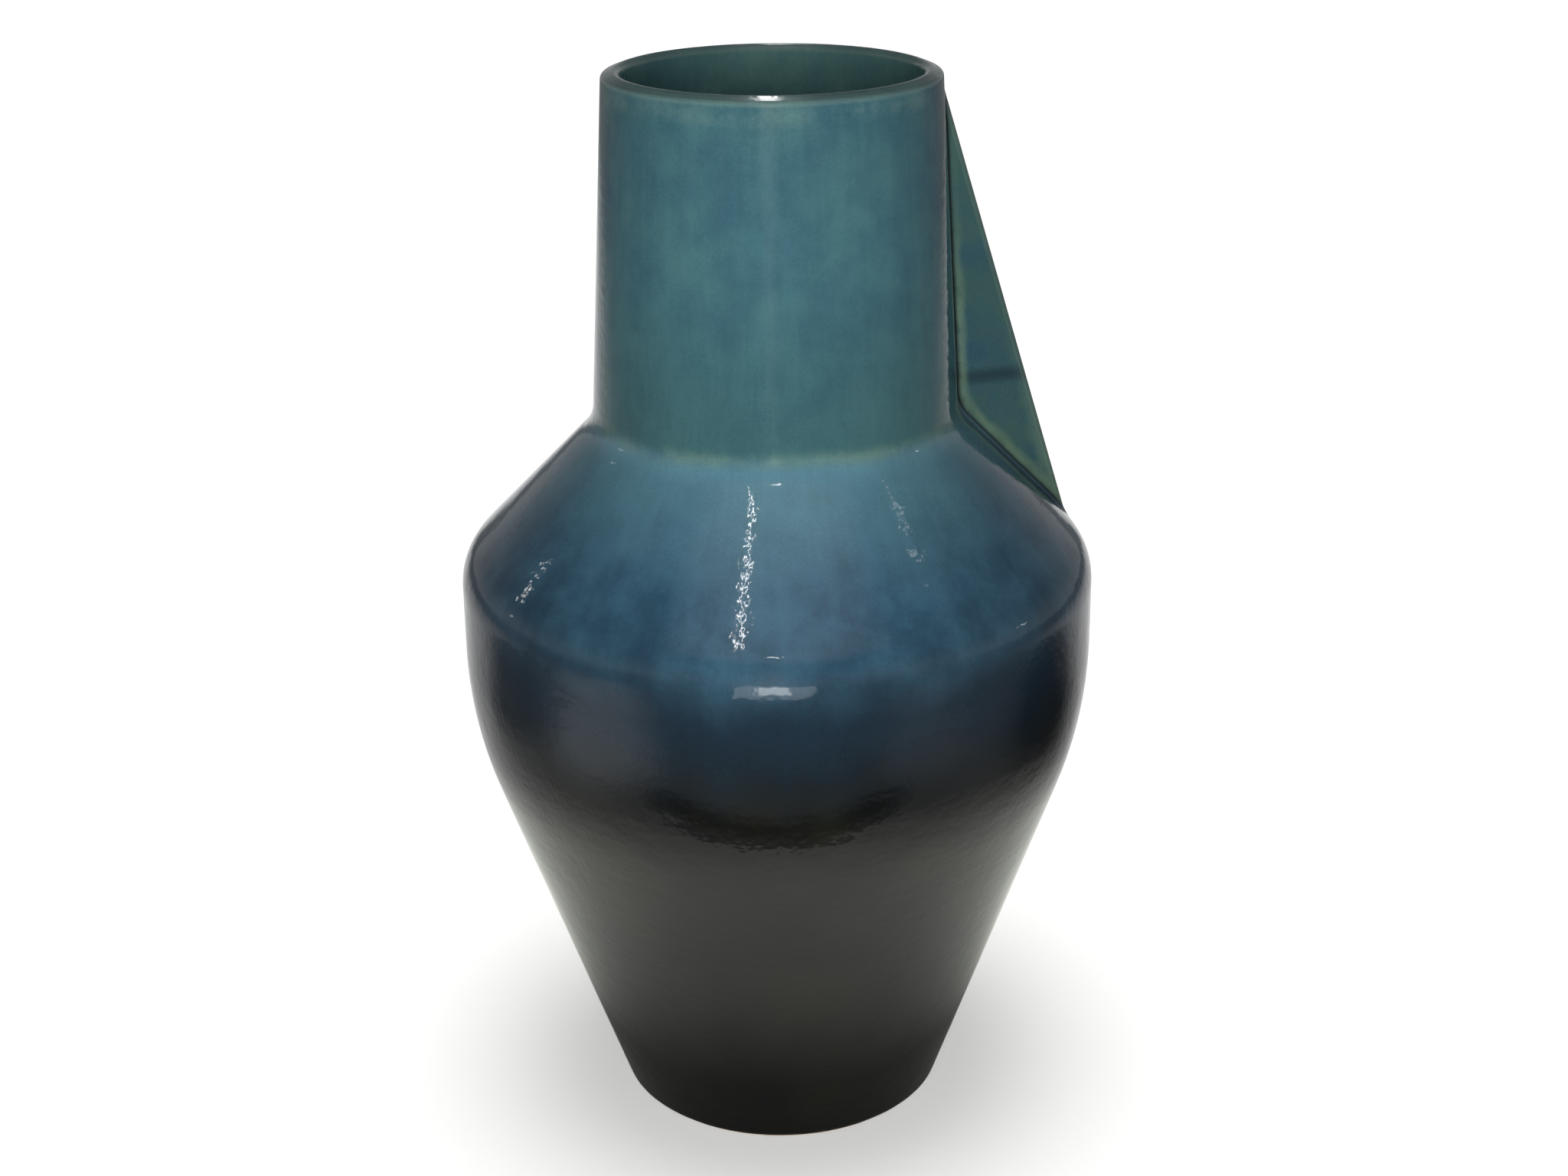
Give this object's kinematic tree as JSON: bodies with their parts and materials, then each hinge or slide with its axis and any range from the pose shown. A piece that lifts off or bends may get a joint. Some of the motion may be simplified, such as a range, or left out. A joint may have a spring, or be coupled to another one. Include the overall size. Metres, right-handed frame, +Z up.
{
  "type": "flower vase",
  "caption": "Glazed ceramic flower vase with a tall neck, sloping shoulder, banded belly tapering to a small foot, and a triangular fin handle.",
  "frame": {"origin": "centre of the foot, on the surface that the vase stands on", "axes": "+Z up the vase's axis; +X to the right with the front towards -Y, the fin handle standing 14 degrees behind +X"},
  "size_m": [0.1774, 0.1774, 0.3],
  "materials": {
    "teal_glaze": "glossy",
    "blue_glaze": "glossy",
    "dark_glaze": "glossy",
    "raw_clay": "matte"
  },
  "bodies": {
    "root": {"foot_ring": "raw_clay", "base_floor": "dark_glaze", "lower_wall": "dark_glaze", "belly_band": "blue_glaze", "shoulder": "blue_glaze", "neck": "teal_glaze", "fin_handle": "teal_glaze"}
  },
  "joints": []
}
